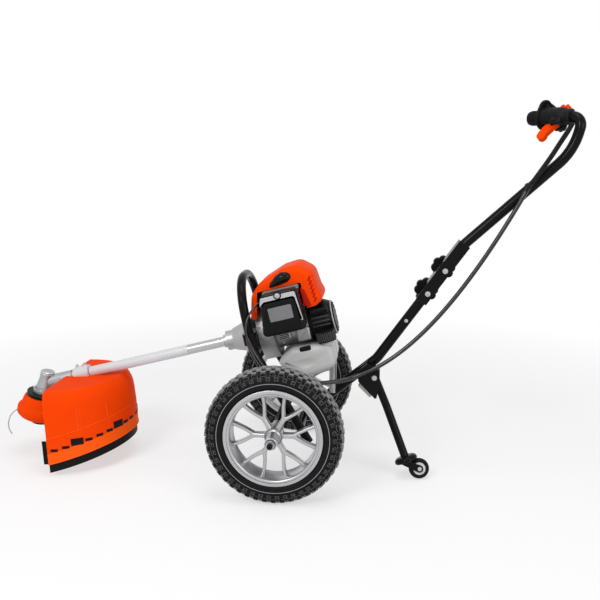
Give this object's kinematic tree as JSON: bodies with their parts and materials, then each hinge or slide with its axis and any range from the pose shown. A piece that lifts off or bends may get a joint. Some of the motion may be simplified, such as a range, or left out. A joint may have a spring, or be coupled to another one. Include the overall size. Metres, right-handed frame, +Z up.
{
  "type": "wheeled string trimmer",
  "caption": "Petrol string trimmer on a two-wheel frame with a castor stand, folding handle pole, drive tube, bevel gearbox, line head and guard; wheels, shafts and controls move.",
  "frame": {"origin": "on the ground under the middle of the axle", "axes": "+X to the handle end, +Y to the machine's right, +Z up"},
  "size_m": [1.4272, 0.619, 0.9104],
  "materials": {
    "frame_paint": "gloss black paint",
    "zinc_steel": "zinc plated",
    "tyre_rubber": "matt black rubber",
    "rim_silver": "satin silver",
    "cast_alloy": "satin casting",
    "cover_orange": "orange-red moulding",
    "black_plastic": "fine-grained black moulding",
    "soft_rubber": "matt black rubber",
    "grey_plastic": "grey moulding",
    "tank_plastic": "milky translucent moulding",
    "nylon_line": "translucent nylon"
  },
  "bodies": {
    "base": {"wheel_frame": "frame_paint", "axle": "zinc_steel", "bearings": "zinc_steel", "lower_pole": "frame_paint", "stand_bracket": "frame_paint", "stand_stop": "grey_plastic", "engine_bracket": "frame_paint", "engine_strut": "grey_plastic", "drive_tube": "cast_alloy", "gear_housing": "cast_alloy", "guard": "cover_orange", "guard_skirt": "soft_rubber", "guard_clamp": "black_plastic", "line_cutter": "frame_paint", "clutch_housing": "cast_alloy", "fan_housing": "cast_alloy", "crankcase": "cast_alloy", "cylinder": "cast_alloy", "spark_plug": "grey_plastic", "engine_cover": "cover_orange", "plug_cover": "black_plastic", "carburettor": "cast_alloy", "air_cleaner_base": "grey_plastic", "air_cleaner_cover": "black_plastic", "muffler": "zinc_steel", "starter_housing": "black_plastic", "fuel_tank": "tank_plastic", "throttle_cable": "soft_rubber"},
    "left_wheel": {"left_tyre": "tyre_rubber", "left_rim": "rim_silver"},
    "right_wheel": {"right_tyre": "tyre_rubber", "right_rim": "rim_silver"},
    "cutter": {"output_gear": "zinc_steel", "holder_disc": "black_plastic", "head_shell": "cover_orange", "line_spool": "black_plastic", "trimmer_line": "nylon_line"},
    "bump": {"bump_knob": "black_plastic"},
    "drive": {"drive_shaft": "zinc_steel", "pinion_gear": "zinc_steel", "clutch_drum": "zinc_steel"},
    "crank": {"crankshaft": "zinc_steel", "flywheel": "cast_alloy", "clutch_shoes": "zinc_steel"},
    "piston_rod": {"piston": "cast_alloy"},
    "reel": {"starter_reel": "black_plastic"},
    "pull": {"starter_handle": "black_plastic"},
    "filler_cap": {"fuel_cap": "black_plastic"},
    "choke": {"choke_lever": "black_plastic"},
    "handle": {"upper_pole": "frame_paint", "pole_bolts": "zinc_steel", "control_body": "black_plastic", "cable_conduit": "black_plastic"},
    "trigger": {"throttle_trigger": "cover_orange"},
    "switch": {"stop_switch": "cover_orange"},
    "knob_upper": {"upper_knob": "black_plastic"},
    "knob_lower": {"lower_knob": "black_plastic"},
    "stand": {"stand_leg": "frame_paint"},
    "fork": {"castor_fork": "frame_paint"},
    "castor": {"castor_wheel": "soft_rubber"}
  },
  "joints": [
    {"name": "left_wheel_spin", "type": "hinge", "parent": "base", "child": "left_wheel", "pos_m": [0, -0.235, 0.159], "axis": [0, 1, 0], "continuous": true},
    {"name": "right_wheel_spin", "type": "hinge", "parent": "base", "child": "right_wheel", "pos_m": [0, 0.235, 0.159], "axis": [0, 1, 0], "continuous": true},
    {"name": "cutter_spin", "type": "hinge", "parent": "base", "child": "cutter", "pos_m": [-0.64052, 0, 0.19173], "axis": [0.2198, 0, 0.9755], "continuous": true},
    {"name": "drive_spin", "type": "hinge", "parent": "base", "child": "drive", "pos_m": [-0.64052, 0, 0.19173], "axis": [0.969, 0, 0.247], "continuous": true},
    {"name": "bump_feed", "type": "slide", "parent": "cutter", "child": "bump", "axis": [0.2198, 0, 0.9755], "range_m": [0, 0.006], "stiffness_N_per_m": 600, "springref_m": -0.006},
    {"name": "crank_spin", "type": "hinge", "parent": "base", "child": "crank", "pos_m": [0.02132, 0, 0.36043], "axis": [0.969, 0, 0.247], "continuous": true},
    {"name": "piston_stroke", "type": "slide", "parent": "base", "child": "piston_rod", "axis": [-0.247, 0, 0.969], "range_m": [-0.017, 0.017]},
    {"name": "starter_pull", "type": "slide", "parent": "base", "child": "pull", "axis": [0, -1, 0], "range_m": [0, 0.6]},
    {"name": "reel_spin", "type": "hinge", "parent": "base", "child": "reel", "pos_m": [0.09303, 0, 0.37871], "axis": [0.969, 0, 0.247], "range_deg": [0, 1043.7]},
    {"name": "fuel_cap_turn", "type": "hinge", "parent": "base", "child": "filler_cap", "pos_m": [0.10705, -0.056, 0.33585], "axis": [-0.247, 0, 0.969], "continuous": true},
    {"name": "choke_turn", "type": "hinge", "parent": "base", "child": "choke", "pos_m": [0.05166, -0.0807, 0.41977], "axis": [0.969, 0, 0.247], "range_deg": [0, 50]},
    {"name": "pole_fold", "type": "hinge", "parent": "base", "child": "handle", "pos_m": [0.34662, 0, 0.44994], "axis": [0, -1, 0], "range_deg": [0, 100], "deforming": ["throttle_cable"]},
    {"name": "trigger_pull", "type": "hinge", "parent": "handle", "child": "trigger", "pos_m": [0.63804, 0.03635, 0.85087], "axis": [0.5997, 0.5997, -0.5299], "range_deg": [0, 15], "stiffness_Nm_per_rad": 0.3, "springref_deg": -5.73},
    {"name": "stop_slide", "type": "slide", "parent": "handle", "child": "switch", "axis": [-0.7071, 0.7071, 0], "range_m": [-0.004, 0.004]},
    {"name": "upper_knob_turn", "type": "hinge", "parent": "handle", "child": "knob_upper", "pos_m": [0.38649, 0, 0.50625], "axis": [0, 1, 0], "continuous": true},
    {"name": "lower_knob_turn", "type": "hinge", "parent": "handle", "child": "knob_lower", "pos_m": [0.34662, 0, 0.44994], "axis": [0, 1, 0], "continuous": true},
    {"name": "stand_fold", "type": "hinge", "parent": "base", "child": "stand", "pos_m": [0.222, -0.028, 0.243], "axis": [0, -1, 0], "range_deg": [0, 70]},
    {"name": "castor_swivel", "type": "hinge", "parent": "stand", "child": "fork", "pos_m": [0.30168, -0.06929, 0.04873], "axis": [-0.3723, 0.193, 0.9078], "continuous": true},
    {"name": "castor_spin", "type": "hinge", "parent": "fork", "child": "castor", "pos_m": [0.33503, -0.07236, 0.02455], "axis": [0.0854, -0.9669, 0.2405], "continuous": true}
  ],
  "couplings": [
    {"joint": "drive_spin", "follows": "cutter_spin", "ratio": 1.3571},
    {"joint": "reel_spin", "follows": "starter_pull", "rad_per_m": 30.303}
  ]
}
